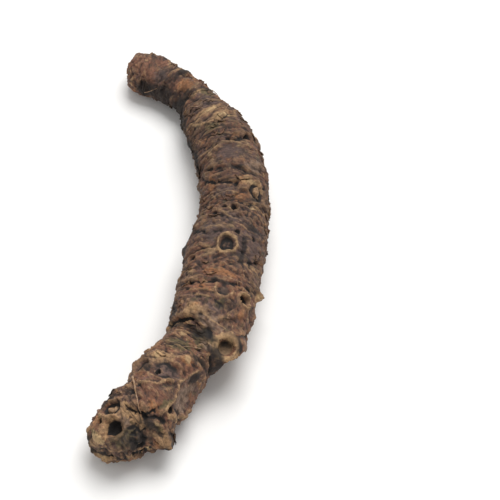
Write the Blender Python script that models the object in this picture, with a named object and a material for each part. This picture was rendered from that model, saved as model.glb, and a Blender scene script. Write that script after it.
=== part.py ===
"""A piece of dried kutki root, lying on its side. Blender 4.5, metres, +Z up.

The root is one solid. A round skin is wrapped about a curved axis, and every form on it is
raised or sunk from that skin by a formula: swellings, wrinkled plates, lumps and hollows,
the round scars of rootlets, creases and ridges, and one stub of a side root. A place on the
skin is given by two numbers: along, in mm from the thin end, and around, in degrees from
the top. Three low spots are cut flat, so that it rests on them.
"""

import itertools
from typing import NamedTuple

import bmesh
import bpy
import numpy as np

MM = 0.001
NODE = "kutki_root"

# Each row is a place on the axis, from the thin end to the crown: x, y, height, radius.
AXIS = (
    (-13.3, 21.8, 2.2, 2.2),
    (-10.9, 21.7, 2.2, 2.25),
    (-8.1, 19.9, 2.25, 2.1),
    (-5.9, 17.7, 2.4, 2.0),
    (-4.2, 14.3, 2.95, 2.7),
    (-3.0, 11.7, 3.35, 3.2),
    (-2.0, 7.3, 3.6, 3.4),
    (-1.7, 3.1, 3.6, 3.45),
    (-1.85, 0.1, 3.65, 3.6),
    (-2.4, -3.0, 3.9, 4.0),
    (-2.9, -6.0, 4.0, 3.95),
    (-3.4, -8.4, 4.05, 3.95),
    (-4.2, -11.8, 4.15, 3.95),
    (-5.7, -14.45, 3.5, 2.95),
    (-7.1, -16.9, 3.5, 3.15),
    (-8.8, -19.5, 3.55, 3.4),
    (-10.4, -21.9, 3.6, 3.75),
    (-12.1, -23.9, 3.2, 3.3),
    (-13.5, -25.3, 3.0, 3.15),
    (-14.8, -26.4, 3.05, 3.3),
)
THIN_CAP = 2.4
CROWN_CAP = 3.8
CAP_SQUARENESS = 2.4

SWELLING = 0.22
PLATE_ROWS = 46
PLATE_COLUMNS = 7
PLATE_RISE = 0.15
WRINKLE_LENGTH = 1.05
WRINKLE_WIDTH = 5
WRINKLE_RISE = 0.27
# How strong the wrinkles are at places along the root.
WRINKLED_AT = (0, 9, 13, 21, 25, 31, 36, 42, 47, 52, 58)
WRINKLED_BY = (0.7, 0.9, 1.3, 1.2, 0.8, 0.4, 0.55, 0.7, 0.9, 0.6, 0.5)
# How knobbly the skin is at places along the root.
KNOBBED_AT = (0, 22, 24, 29, 31, 37, 39, 42, 51, 54, 58)
KNOBBED_BY = (0.1, 0.1, 0.6, 0.5, 0.2, 0.2, 0.5, 0.3, 0.3, 1.3, 1.1)
KNOB_RISE = 0.42
PEBBLE_RISE = 0.07
WOBBLE = 0.3
SCAR_WOBBLE = 0.2

RINGS = 300
SIDES = 84
MOST_TRIANGLES = 11400
COLOUR = (0.137, 0.085, 0.056, 1)
ROUGHNESS = 0.85


class Scar(NamedTuple):
    """A round mark: its half length and half width, its rim, its pit and the core in the pit."""

    along: float
    around: float
    length: float
    width: float
    rim: float
    depth: float
    core: float = 0
    turn: float = 0


class Lump(NamedTuple):
    """A low swelling, or with a height below zero a hollow. A smooth one carries no wrinkles."""

    along: float
    around: float
    length: float
    width: float
    height: float
    turn: float = 0
    smooth: float = 0


class Crease(NamedTuple):
    """A line that is sunk, or with a depth below zero a ridge, and the lip behind it."""

    points: tuple
    depth: float
    width: float
    lip: float = 0


class Stub(NamedTuple):
    """A short side root, cut off: the way that it points, and its hollow ringed face."""

    along: float
    around: float
    radius: float
    height: float
    towards: tuple
    rim: float
    depth: float


SCARS = (
    Scar(32.4, 5, 1.3, 1.0, rim=0.36, depth=0.5, core=0.35),
    Scar(24.6, 41, 1.4, 1.0, rim=0.2, depth=0.6, core=0.85, turn=8),
    Scar(27.4, 2, 0.6, 0.5, rim=0.28, depth=0.6),
    Scar(27.5, -13, 0.4, 0.38, rim=0.18, depth=0.4),
    Scar(38.2, 50, 0.85, 0.8, rim=0.42, depth=1.0),
    Scar(38.1, 15, 1.05, 0.85, rim=0.24, depth=0.28, core=0.1),
    Scar(48.6, 3, 1.3, 1.75, rim=0.24, depth=0.28, core=0.12, turn=32),
    Scar(49.1, -5, 0.4, 0.35, rim=0.05, depth=0.5),
    Scar(49.2, -37, 1.0, 0.9, rim=0.34, depth=0.65),
    Scar(54.6, -30, 1.0, 1.25, rim=0.26, depth=0.7, core=0.35, turn=30),
    Scar(56.4, -34, 0.42, 0.42, rim=0.12, depth=0.6),
    Scar(56.1, 2, 1.15, 1.1, rim=0.12, depth=1.2),
    Scar(54.8, 26, 0.4, 0.6, rim=0.05, depth=0.1, turn=50),
    Scar(51.3, 53, 0.5, 0.42, rim=0.16, depth=0.5),
    Scar(30.6, 17, 0.4, 0.3, rim=0.1, depth=0.45),
    Scar(30.6, 43, 0.35, 0.35, rim=0.1, depth=0.4),
    Scar(34.1, -47, 0.55, 0.45, rim=0.18, depth=0.45),
    Scar(17.6, 44, 0.45, 0.7, rim=0.15, depth=0.5),
    Scar(46.0, -62, 0.9, 0.8, rim=0.35, depth=0.6, core=0.3),
)
HIDDEN_SCARS = 15
HIDDEN_FROM = 100
HIDDEN_SEED = 5

LUMPS = (
    Lump(3.4, -8, 1.2, 1.4, -0.2, smooth=0.5),
    Lump(21.8, -85, 0.5, 0.8, 0.3),
    Lump(30.4, -84, 0.5, 1.0, 0.3),
    Lump(31.3, -86, 0.5, 1.0, 0.45),
    Lump(7.8, -5, 0.9, 0.8, 0.3),
    Lump(20.6, 7, 1.9, 1.9, 0.28, smooth=0.6),
    Lump(40.3, -12, 1.0, 1.1, 0.2),
    Lump(39.0, 55, 1.2, 0.8, 0.3),
    Lump(35.7, 85, 0.7, 0.8, 0.8),
    Lump(38.0, 86, 0.9, 1.0, 0.35),
    Lump(43.6, -14, 0.6, 1.1, 0.35),
    Lump(42.8, 20, 1.3, 1.6, -0.3),
    Lump(40.2, 96, 1.0, 1.1, 0.95),
    Lump(41.6, 97, 0.9, 1.1, 0.7),
    Lump(46.2, 21, 0.7, 0.6, 0.35),
    Lump(48.6, 70, 2.6, 1.5, -0.75, turn=-8, smooth=1),
    Lump(51.0, -76, 1.1, 2.3, -1.15),
    Lump(48.0, -56, 1.5, 1.3, 0.45),
    Lump(50.9, 97, 0.65, 1.7, -0.85),
    Lump(53.0, 87, 1.2, 1.4, 1.4),
    Lump(53.0, 52, 0.7, 0.7, 0.35),
    Lump(55.0, 93, 1.3, 1.4, -0.8),
    Lump(55.0, 40, 1.2, 1.4, -0.6, turn=60),
    Lump(56.0, -25, 1.8, 1.6, 0.3, smooth=0.3),
    Lump(57.5, -20, 0.7, 0.7, 0.45, smooth=0.3),
    Lump(57.5, -95, 1.4, 2.2, 0.2),
    Lump(57.6, -132, 1.1, 1.7, 0.7),
    Lump(56.9, 124, 1.5, 1.9, -0.4),
    Lump(56.8, 46, 1.0, 1.2, 0.6),
    Lump(57.6, 60, 0.3, 1.5, -0.45, turn=88),
    Lump(3.0, 180, 2.4, 1.8, 0.1, smooth=1),
    Lump(30.0, 182, 5.5, 2.4, 0.1, smooth=1),
    Lump(53.0, 187, 2.8, 2.2, 0.1, smooth=1),
)

CREASES = (
    Crease(((5.7, 10), (6.5, 21), (7.2, 45)), 0.35, 0.25, lip=0.25),
    Crease(((13.2, -52), (15.1, -31), (15.5, -16)), -0.3, 0.3),
    Crease(((18.0, -12), (18.3, 13), (17.1, 54)), 0.35, 0.28, lip=0.25),
    Crease(((19.4, -30), (18.7, -14), (18.7, 12), (19.0, 33), (19.6, 48)), -0.28, 0.3),
    Crease(((21.1, -55), (21.7, -29), (22.0, -12)), 0.35, 0.25, lip=0.2),
    Crease(((21.4, -6), (21.9, 8), (22.6, 26)), 0.4, 0.25, lip=0.25),
    Crease(((20.2, -90), (23.1, -41), (23.7, -11), (24.3, 16)), 0.25, 0.3, lip=0.25),
    Crease(((25.4, -65), (28.8, -20), (29.0, 3), (27.5, 33)), 0.25, 0.3, lip=0.2),
    Crease(((29.6, -75), (31.2, -28), (30.7, -3)), 0.3, 0.3, lip=0.3),
    Crease(((35.4, 4), (34.1, 28), (32.2, 75)), 0.2, 0.3, lip=0.25),
    Crease(((36.6, -85), (37.3, -49), (37.7, -14), (37.0, 25), (35.4, 95)), 0.3, 0.22, lip=0.2),
    Crease(((40.8, 48), (40.5, 68), (39.2, 100)), 0.35, 0.3, lip=0.3),
    Crease(((30.3, 26), (32.6, 30), (33.9, 32)), 0.25, 0.2),
    Crease(((43.4, -80), (42.0, -56), (41.4, -30), (41.0, -12), (41.2, 12)), 0.5, 0.24, lip=0.3),
    Crease(((41.0, 8), (41.5, 29), (42.4, 44), (44.1, 62), (44.4, 84), (43.6, 108)), 0.45, 0.32, lip=0.15),
    Crease(((46.6, -5), (46.2, 18), (45.4, 34)), -0.22, 0.3),
    Crease(((51.2, -34), (51.0, -4), (50.6, 11), (48.8, 31), (46.5, 49), (44.6, 58)), -0.4, 0.28),
    Crease(((48.7, 32), (49.3, 41), (50.9, 44), (52.4, 48)), -0.38, 0.28),
    Crease(((51.4, 55), (51.3, 77), (49.4, 102)), -0.35, 0.32),
    Crease(((53.2, -14), (53.4, 13), (52.8, 27), (51.5, 40)), 0.3, 0.28, lip=0.3),
    Crease(((53.5, 26), (52.5, 43), (52.0, 64)), 0.45, 0.28),
    Crease(((53.0, 44), (53.0, 68), (52.1, 90), (51.0, 104)), 0.45, 0.3),
    Crease(((54.3, 54), (54.6, 70), (55.0, 82)), 0.4, 0.3),
    Crease(((57.3, -84), (57.6, -97), (57.8, -193), (57.6, -293)), 0.6, 0.3),
)

SIDE_STUB = Stub(41.7, 72, 1.7, 1.65, (0.24, -0.46, 0.85), rim=0.25, depth=0.85)


def unit(vectors):
    return vectors / np.linalg.norm(vectors, axis=-1, keepdims=True)


def bell(distance):
    return np.exp(-(distance**2))


def ease(value):
    """Rises smoothly from 0 to 1 as the value does."""
    value = np.clip(value, 0, 1)
    return value**2 * (3 - 2 * value)


def smooth_line(rows, count):
    """A smooth curve through the rows, and the distance along it in its first columns."""
    rows = np.array(rows, float)
    steps = np.linalg.norm(np.diff(rows[:, :3], axis=0), axis=1)
    knots = np.concatenate([[0], np.cumsum(steps)])
    slopes = np.gradient(rows, knots, axis=0)
    at = np.linspace(0, knots[-1], count)
    span = np.clip(np.searchsorted(knots, at, side="right") - 1, 0, len(rows) - 2)
    width = (knots[span + 1] - knots[span])[:, None]
    t = (at - knots[span])[:, None] / width
    points = (
        rows[span] * (1 + 2 * t) * (1 - t) ** 2
        + rows[span + 1] * t**2 * (3 - 2 * t)
        + slopes[span] * width * t * (1 - t) ** 2
        - slopes[span + 1] * width * t**2 * (1 - t)
    )
    run = np.linalg.norm(np.diff(points[:, :3], axis=0), axis=1)
    return points, np.concatenate([[0], np.cumsum(run)])


PATH, RUN = smooth_line(AXIS, count=1500)
LENGTH = RUN[-1]
AHEAD = unit(np.gradient(PATH[:, :3], RUN, axis=0))
BESIDE = unit(np.cross((0.0, 0.0, 1.0), AHEAD))
ABOVE = np.cross(AHEAD, BESIDE)


def on_path(table, along):
    return np.stack([np.interp(along, RUN, column) for column in table.T], -1)


def radius_at(along):
    """The radius of the plain skin, rounded off at both ends."""
    from_thin = np.clip(1 - along / THIN_CAP, 0, 1)
    from_crown = np.clip(1 - (LENGTH - along) / CROWN_CAP, 0, 1)
    rounding = 1 - from_thin**CAP_SQUARENESS - from_crown**CAP_SQUARENESS
    return np.interp(along, RUN, PATH[:, 3]) * np.clip(rounding, 0, 1) ** (1 / CAP_SQUARENESS)


def noise_table(seed, size=256):
    random = np.random.default_rng(seed)
    return random.permutation(size), unit(random.normal(size=(size, 3))), random.random(size)


ORDER, SLOPES, DRAWS = noise_table(seed=11)


def hashed(*numbers):
    """A fixed random place in the noise table for these whole numbers."""
    key = 0
    for number in numbers:
        key = ORDER[(key + number) % len(ORDER)]
    return key


def grain(points, period, channel=0):
    """Smooth noise of about -1 to 1 with its lumps a period apart."""
    points = points / period + 17.3 * channel
    cell = np.floor(points).astype(int)
    local = points - cell
    fade = local**3 * (local * (local * 6 - 15) + 10)
    total = np.zeros(points.shape[:-1])
    for corner in itertools.product((0, 1), repeat=3):
        x, y, z = np.moveaxis(cell + corner, -1, 0)
        weight = np.prod(np.where(corner, fade, 1 - fade), axis=-1)
        total += weight * np.sum(SLOPES[hashed(x, y, z)] * (local - corner), axis=-1)
    return 1.6 * total


def skin(along, around):
    """Places on the round skin with only its broad swellings."""
    turn = np.radians(around)[..., None]
    out = np.cos(turn) * on_path(ABOVE, along) + np.sin(turn) * on_path(BESIDE, along)
    place = on_path(PATH[:, :3], along) + radius_at(along)[..., None] * out
    swelling = SWELLING * (grain(place, 6.5, channel=1) + 0.6 * grain(place, 2.8, channel=2))
    return place + out * swelling[..., None]


def frame_on_skin(along, around, step=0.05):
    """The ways ahead, aside and out of the skin at each place on it."""
    along = np.clip(along, 2 * step, LENGTH - 2 * step)
    turn = np.degrees(step / np.maximum(radius_at(along), 0.5))
    ahead = unit(skin(along + step, around) - skin(along - step, around))
    out = unit(np.cross(ahead, skin(along, around + turn) - skin(along, around - turn)))
    return ahead, np.cross(out, ahead), out


def plates(along, around, place, rows, columns, channel=0):
    """Wrinkled plates laid across the root, each with a drop at the edge nearer the crown.

    The first result is the rise of the plates, about 0 to 1. The second is 1 in the gaps.
    """
    row = along / LENGTH * rows + 0.9 * grain(place, 4.5, channel + 3)
    row += 0.35 * grain(place, 1.7, channel + 4)
    column = around / 360 * columns + 0.7 * grain(place, 5, channel + 5)
    nearest = np.full(along.shape, 9.0)
    second = nearest.copy()
    rise = np.zeros(along.shape)
    for step_row, step_column in itertools.product((-1, 0, 1), repeat=2):
        cell_row = np.floor(row).astype(int) + step_row
        cell_column = np.floor(column).astype(int) + step_column
        key = hashed(cell_row, cell_column % columns, channel)
        off_row = row - cell_row - 0.5 - 0.7 * (DRAWS[key] - 0.5)
        off_column = column - cell_column - 0.5 - 0.8 * (DRAWS[ORDER[key]] - 0.5)
        distance = np.hypot(off_row, off_column)
        closer = distance < nearest
        second = np.where(closer, nearest, np.minimum(second, distance))
        nearest = np.where(closer, distance, nearest)
        level = DRAWS[hashed(key, channel)]
        rise = np.where(closer, 0.55 * level + 0.6 * (off_row + 0.4), rise)
    return rise, 1 - ease((second - nearest) / 0.3)


def wrinkles(along, around, place):
    """Round folds across the root with sharp creases between them, about 0 to 1."""
    turn = np.radians(around)
    girth = np.stack([np.cos(turn), np.sin(turn)], -1) * radius_at(along)[:, None]
    drift = along + 0.6 * grain(place, 3.2, channel=12) + 1.3 * grain(place, 9, channel=14)
    stretched = np.concatenate([drift[:, None] / WRINKLE_LENGTH, girth / WRINKLE_WIDTH], axis=-1)
    return np.abs(grain(stretched, 1, channel=13)) ** 0.8


def oval(place, mark):
    """How far each place is from the middle of the mark, in parts of its half size."""
    spot = np.array(mark.along), np.array(mark.around)
    ahead, aside, out = frame_on_skin(*spot)
    offset = place - skin(*spot)
    cosine, sine = np.cos(np.radians(mark.turn)), np.sin(np.radians(mark.turn))
    forward = offset @ (cosine * ahead + sine * aside) / mark.length
    sideways = offset @ (cosine * aside - sine * ahead) / mark.width
    far_side = offset @ out < -0.6 * max(mark.length, mark.width) - 1
    return np.where(far_side, 9.0, np.hypot(forward, sideways))


def crease_rise(place, along, crease):
    """The rise beside the crease. Its lip stands on the side towards the thin end."""
    corners = np.array(crease.points, float)
    steps = np.linspace(0, len(corners) - 1, 24 * len(corners))
    line_along, line_around = (np.interp(steps, range(len(corners)), line) for line in corners.T)
    line = skin(line_along, line_around)
    rise = np.zeros(along.shape)
    near = (along > line_along.min() - 4) & (along < line_along.max() + 4)
    distance = np.linalg.norm(place[near, None] - line, axis=-1)
    closest = distance.argmin(axis=1)
    distance = distance.min(axis=1)
    behind = distance * np.sign(line_along[closest] - along[near])
    part = closest / (len(line) - 1)
    lip = crease.lip * ease(behind / crease.width) * np.exp(-np.maximum(behind, 0) / 1.1)
    sunk = crease.depth * bell(distance / crease.width)
    rise[near] = ease(6 * part) * ease(6 - 6 * part) * (lip - sunk)
    return rise


def push_out_stub(place, stub):
    """The places moved up to the face of the stub, where they lie under it."""
    towards = unit(np.array(stub.towards))
    offset = place - skin(np.array(stub.along), np.array(stub.around))
    height = offset @ towards
    q = np.linalg.norm(offset - height[:, None] * towards, axis=-1) / stub.radius
    face = stub.height + stub.rim * bell((q - 0.72) / 0.24) - stub.depth * bell((q / 0.46) ** 4)
    cover = ease((1.75 - q) / 0.75) * (height > -2.5)
    return place + (cover * np.maximum(face - height, 0))[:, None] * towards


def hidden_scars():
    """Scars on the underside, drawn at random but kept apart."""
    random = np.random.default_rng(HIDDEN_SEED)
    found = []
    while len(found) < HIDDEN_SCARS:
        along = random.uniform(5, LENGTH - 5)
        around = random.uniform(HIDDEN_FROM, 360 - HIDDEN_FROM)
        if all(abs(along - scar.along) > 2.4 or abs(around - scar.around) > 60 for scar in found):
            size = random.uniform(0.55, 1.05)
            core = random.choice((0, 0.4))
            found.append(Scar(along, around, size, 0.85 * size, 0.3 * size, 0.6 * size, core))
    return found


def surface(along, around):
    """Places on the finished root, in mm."""
    place = skin(along, around)
    out = frame_on_skin(along, around)[2]
    wobble = [grain(place, 1.5, channel) for channel in (20, 21, 22)]
    wobbled = place + WOBBLE * np.stack(wobble, -1)
    level, gap = plates(along, around, place, PLATE_ROWS, PLATE_COLUMNS)
    strength = WRINKLE_RISE * np.interp(along, WRINKLED_AT, WRINKLED_BY)
    rough = PLATE_RISE * (level - 0.6 * gap) + strength * wrinkles(along, around, place)
    rough = rough * ease(radius_at(along) / 2.5) + PEBBLE_RISE * grain(place, 1.0, channel=9)
    knobs = np.abs(grain(wobbled, 1.3, channel=80)) - 0.3
    rough += KNOB_RISE * np.interp(along, KNOBBED_AT, KNOBBED_BY) * knobs
    rise = np.zeros(along.shape)
    for lump in LUMPS:
        cover = bell(oval(wobbled, lump))
        rough *= 1 - lump.smooth * np.minimum(1, 1.6 * cover)
        rise += lump.height * cover
    steadier = place + SCAR_WOBBLE * np.stack(wobble, -1)
    for scar in (*SCARS, *hidden_scars()):
        q = oval(steadier, scar)
        rough *= 1 - 0.8 * bell(q / 1.1)
        rise += scar.rim * bell((q - 1) / 0.2) - scar.depth * bell((q / 0.75) ** 3)
        rise += scar.core * bell((q / 0.5) ** 2.5)
    for crease in CREASES:
        rise += crease_rise(wobbled, along, crease)
    return push_out_stub(place + out * (rise + rough)[:, None], SIDE_STUB)


def skin_grid(rings, sides):
    """Along and around for each vertex, evenly spaced over the skin, and the faces."""
    fine = LENGTH * (1 - np.cos(np.linspace(0, np.pi, 4000))) / 2
    profile = np.hypot(np.diff(fine), np.diff(radius_at(fine)))
    travel = np.concatenate([[0], np.cumsum(profile)])
    along = np.interp(np.linspace(0, travel[-1], rings + 2), travel, fine)
    around = np.arange(sides) * 360 / sides
    count = rings * sides
    lower = np.arange(count - sides).reshape(rings - 1, sides)
    beside = np.roll(lower, -1, axis=1)
    quads = np.stack([lower, lower + sides, beside + sides, beside], -1).reshape(-1, 4)
    first = np.arange(sides)
    last = first + count - sides
    thin_fan = [(count, a, b) for a, b in zip(first, np.roll(first, -1))]
    crown_fan = [(count + 1, b, a) for a, b in zip(last, np.roll(last, -1))]
    all_along = np.concatenate([np.repeat(along[1:-1], sides), [0, LENGTH]])
    all_around = np.concatenate([np.tile(around, rings), [0, 0]])
    return all_along, all_around, quads.tolist() + thin_fan + crown_fan


def bark():
    material = bpy.data.materials.new("dried_bark")
    material.use_nodes = True
    shader = material.node_tree.nodes["Principled BSDF"]
    shader.inputs["Base Color"].default_value = COLOUR
    shader.inputs["Roughness"].default_value = ROUGHNESS
    shader.inputs["Metallic"].default_value = 0
    return material


def root_object(rings, sides):
    along, around, faces = skin_grid(rings, sides)
    place = surface(along, around)
    middle = (place.min(axis=0) + place.max(axis=0)) / 2
    place[:, :2] -= middle[:2]
    mesh = bpy.data.meshes.new(NODE)
    mesh.from_pydata((place * MM).tolist(), [], faces)
    mesh.validate()
    mesh.shade_smooth()
    mesh.materials.append(bark())
    root = bpy.data.objects.new(NODE, mesh)
    bpy.context.collection.objects.link(root)
    return root


def thin_out(root):
    """Fewer triangles, with more of them left where the form is sharp."""
    triangles = sum(len(face.vertices) - 2 for face in root.data.polygons)
    modifier = root.modifiers.new("fewer_triangles", "DECIMATE")
    modifier.ratio = MOST_TRIANGLES / triangles


def rest_flat(root):
    """Cuts off what would be under the floor."""
    mesh = bpy.data.meshes.new("below_floor")
    shape = bmesh.new()
    bmesh.ops.create_cube(shape, size=1)
    bmesh.ops.scale(shape, vec=(0.06, 0.09, 0.01), verts=shape.verts)
    bmesh.ops.translate(shape, vec=(0, 0, -0.005), verts=shape.verts)
    shape.to_mesh(mesh)
    shape.free()
    cutter = bpy.data.objects.new("below_floor", mesh)
    bpy.context.collection.objects.link(cutter)
    cutter.hide_render = True
    cutter.display_type = "WIRE"
    modifier = root.modifiers.new("cut_at_floor", "BOOLEAN")
    modifier.operation = "DIFFERENCE"
    modifier.solver = "EXACT"
    modifier.object = cutter


def main():
    for item in list(bpy.data.objects):
        bpy.data.objects.remove(item)
    root = root_object(RINGS, SIDES)
    thin_out(root)
    rest_flat(root)


main()
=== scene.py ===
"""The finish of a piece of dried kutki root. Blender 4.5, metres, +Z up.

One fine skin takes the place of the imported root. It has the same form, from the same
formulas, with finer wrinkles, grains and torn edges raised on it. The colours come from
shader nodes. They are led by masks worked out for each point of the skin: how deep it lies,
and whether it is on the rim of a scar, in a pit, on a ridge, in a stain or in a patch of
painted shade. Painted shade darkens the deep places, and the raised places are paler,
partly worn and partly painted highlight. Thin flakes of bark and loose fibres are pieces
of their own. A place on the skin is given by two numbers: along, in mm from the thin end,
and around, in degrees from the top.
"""

import itertools
from typing import NamedTuple

import bpy
import numpy as np
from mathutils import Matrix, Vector


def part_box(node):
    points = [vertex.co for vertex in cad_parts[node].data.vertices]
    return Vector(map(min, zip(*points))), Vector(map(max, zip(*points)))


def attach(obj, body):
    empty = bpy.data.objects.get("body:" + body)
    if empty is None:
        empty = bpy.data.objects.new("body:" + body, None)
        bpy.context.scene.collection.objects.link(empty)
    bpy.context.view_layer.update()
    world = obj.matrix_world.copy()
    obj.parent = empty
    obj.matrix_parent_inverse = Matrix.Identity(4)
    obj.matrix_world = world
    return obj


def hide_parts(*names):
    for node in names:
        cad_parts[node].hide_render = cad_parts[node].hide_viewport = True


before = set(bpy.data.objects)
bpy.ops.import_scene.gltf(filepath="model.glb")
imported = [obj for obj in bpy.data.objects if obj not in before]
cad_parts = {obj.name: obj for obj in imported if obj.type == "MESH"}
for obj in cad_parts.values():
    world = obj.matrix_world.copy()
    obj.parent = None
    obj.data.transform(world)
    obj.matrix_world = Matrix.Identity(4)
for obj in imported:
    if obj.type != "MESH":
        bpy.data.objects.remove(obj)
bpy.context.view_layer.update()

MM = 0.001
NODE = "kutki_root"

# Each row is a place on the axis, from the thin end to the crown: x, y, height, radius.
AXIS = (
    (-13.3, 21.8, 2.2, 2.2),
    (-10.9, 21.7, 2.2, 2.25),
    (-8.1, 19.9, 2.25, 2.1),
    (-5.9, 17.7, 2.4, 2.0),
    (-4.2, 14.3, 2.95, 2.7),
    (-3.0, 11.7, 3.35, 3.2),
    (-2.0, 7.3, 3.6, 3.4),
    (-1.7, 3.1, 3.6, 3.45),
    (-1.85, 0.1, 3.65, 3.6),
    (-2.4, -3.0, 3.9, 4.0),
    (-2.9, -6.0, 4.0, 3.95),
    (-3.4, -8.4, 4.05, 3.95),
    (-4.2, -11.8, 4.15, 3.95),
    (-5.7, -14.45, 3.5, 2.95),
    (-7.1, -16.9, 3.5, 3.15),
    (-8.8, -19.5, 3.55, 3.4),
    (-10.4, -21.9, 3.6, 3.75),
    (-12.1, -23.9, 3.2, 3.3),
    (-13.5, -25.3, 3.0, 3.15),
    (-14.8, -26.4, 3.05, 3.3),
)
THIN_CAP = 2.4
CROWN_CAP = 3.8
CAP_SQUARENESS = 2.4

SWELLING = 0.22
PLATE_ROWS = 46
PLATE_COLUMNS = 7
PLATE_RISE = 0.15
WRINKLE_LENGTH = 1.05
WRINKLE_WIDTH = 5
WRINKLE_RISE = 0.27
# How strong the wrinkles are at places along the root.
WRINKLED_AT = (0, 9, 13, 21, 25, 31, 36, 42, 47, 52, 58)
WRINKLED_BY = (0.7, 0.9, 1.3, 1.2, 0.8, 0.4, 0.55, 0.7, 0.9, 0.6, 0.5)
# How knobbly the skin is at places along the root.
KNOBBED_AT = (0, 22, 24, 29, 31, 37, 39, 42, 51, 54, 58)
KNOBBED_BY = (0.1, 0.1, 0.6, 0.5, 0.2, 0.2, 0.5, 0.3, 0.3, 1.3, 1.1)
KNOB_RISE = 0.42
PEBBLE_RISE = 0.07
WOBBLE = 0.3
SCAR_WOBBLE = 0.2

# What the fine skin adds. The rises and depths are in mm.
FINE_ROWS = 130
FINE_COLUMNS = 9
FINE_PLATE_RISE = 0.08
FOLD_LENGTH = 0.4
FOLD_WIDTH = 2.6
FOLD_RISE = 0.1
CRACK_DEPTH = 0.09
CREST_RISE = 0.09
GRAIN_RISE = 0.06
FINE_KNOB_RISE = 0.6
TIP_KNOBBED = 0.55
TIP_REACH = 3.0
RAGGED = 0.11
BUMP_HEIGHT = 0.12

RINGS = 590
SIDES = 168
CELLS_PER_MM = 9
# How far round a point the skin is levelled, in mm, to tell how deep the point lies.
NEAR_REACH = 0.35
WIDE_REACH = 1.3

FLAKES = 170
FLAKE_ACROSS = 7
FLAKE_DOWN = 4
FLAKE_POINTS = FLAKE_ACROSS * FLAKE_DOWN
FLAKE_THICKNESS = 0.05
FLAKE_ROOTED = 0.12
FLAKE_SEED = 8
# The one long fibre: along and around for each of its points.
LONG_FIBRE = ((50.7, -36), (51.2, -24), (52.0, -6), (52.5, 8), (53.0, 20))
LOOSE_FIBRES = 18
FIBRE_SIDES = 6
FIBRE_SEED = 21
# Flakes and fibres stay this far above the floor.
FLOOR_GAP = 0.01


class Scar(NamedTuple):
    """A round mark: its half length and half width, its rim, its pit and the core in the pit.

    The last three say how pale the rim is, how dark the pit and how pale the core.
    """

    along: float
    around: float
    length: float
    width: float
    rim: float
    depth: float
    core: float = 0
    turn: float = 0
    pale: float = 0.4
    dark: float = 0.8
    light: float = 0.4


class Lump(NamedTuple):
    """A low swelling, or with a height below zero a hollow. A smooth one carries no wrinkles."""

    along: float
    around: float
    length: float
    width: float
    height: float
    turn: float = 0
    smooth: float = 0


class Crease(NamedTuple):
    """A line that is sunk, or with a depth below zero a ridge, and the lip behind it."""

    points: tuple
    depth: float
    width: float
    lip: float = 0


class Stub(NamedTuple):
    """A short side root, cut off: the way that it points, and its hollow ringed face."""

    along: float
    around: float
    radius: float
    height: float
    towards: tuple
    rim: float
    depth: float


class ColourPatch(NamedTuple):
    """A patch of another colour, a stain or painted shade: its half length, its half width and how strong
    it is.
    """

    along: float
    around: float
    length: float
    width: float
    amount: float = 1
    turn: float = 0


SCARS = (
    Scar(32.4, 5, 1.3, 1.0, rim=0.36, depth=0.5, core=0.35, pale=1, dark=0.45, light=0.3),
    Scar(24.6, 41, 1.4, 1.0, rim=0.2, depth=0.6, core=0.85, turn=8, dark=0.6, light=1),
    Scar(27.4, 2, 0.6, 0.5, rim=0.28, depth=0.6, pale=0.5),
    Scar(27.5, -13, 0.4, 0.38, rim=0.18, depth=0.4, dark=0.6),
    Scar(38.2, 50, 0.85, 0.8, rim=0.42, depth=1.0, pale=0.8, dark=1),
    Scar(38.1, 15, 1.05, 0.85, rim=0.24, depth=0.28, core=0.1, pale=0.6, dark=0.1),
    Scar(48.6, 3, 1.3, 1.75, rim=0.24, depth=0.28, core=0.12, turn=32, pale=0.3, dark=0.25),
    Scar(49.1, -5, 0.4, 0.35, rim=0.05, depth=0.5, pale=0.1, dark=1),
    Scar(49.2, -37, 1.0, 0.9, rim=0.34, depth=0.65, pale=0.2, dark=0.8),
    Scar(54.6, -30, 1.0, 1.25, rim=0.26, depth=0.7, core=0.35, turn=30, dark=0.9, light=1),
    Scar(56.4, -34, 0.42, 0.42, rim=0.12, depth=0.6, pale=0.1),
    Scar(56.1, 2, 1.15, 1.1, rim=0.12, depth=1.2, pale=0.2, dark=1),
    Scar(54.8, 26, 0.4, 0.6, rim=0.05, depth=0.1, turn=50, pale=0),
    Scar(51.3, 53, 0.5, 0.42, rim=0.16, depth=0.5),
    Scar(30.6, 17, 0.4, 0.3, rim=0.1, depth=0.45, pale=0.1),
    Scar(30.6, 43, 0.35, 0.35, rim=0.1, depth=0.4, pale=0.1),
    Scar(34.1, -47, 0.55, 0.45, rim=0.18, depth=0.45),
    Scar(17.6, 44, 0.45, 0.7, rim=0.15, depth=0.5),
    Scar(46.0, -62, 0.9, 0.8, rim=0.35, depth=0.6, core=0.3, pale=0.6),
)
HIDDEN_SCARS = 15
HIDDEN_FROM = 100
HIDDEN_SEED = 5

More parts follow.
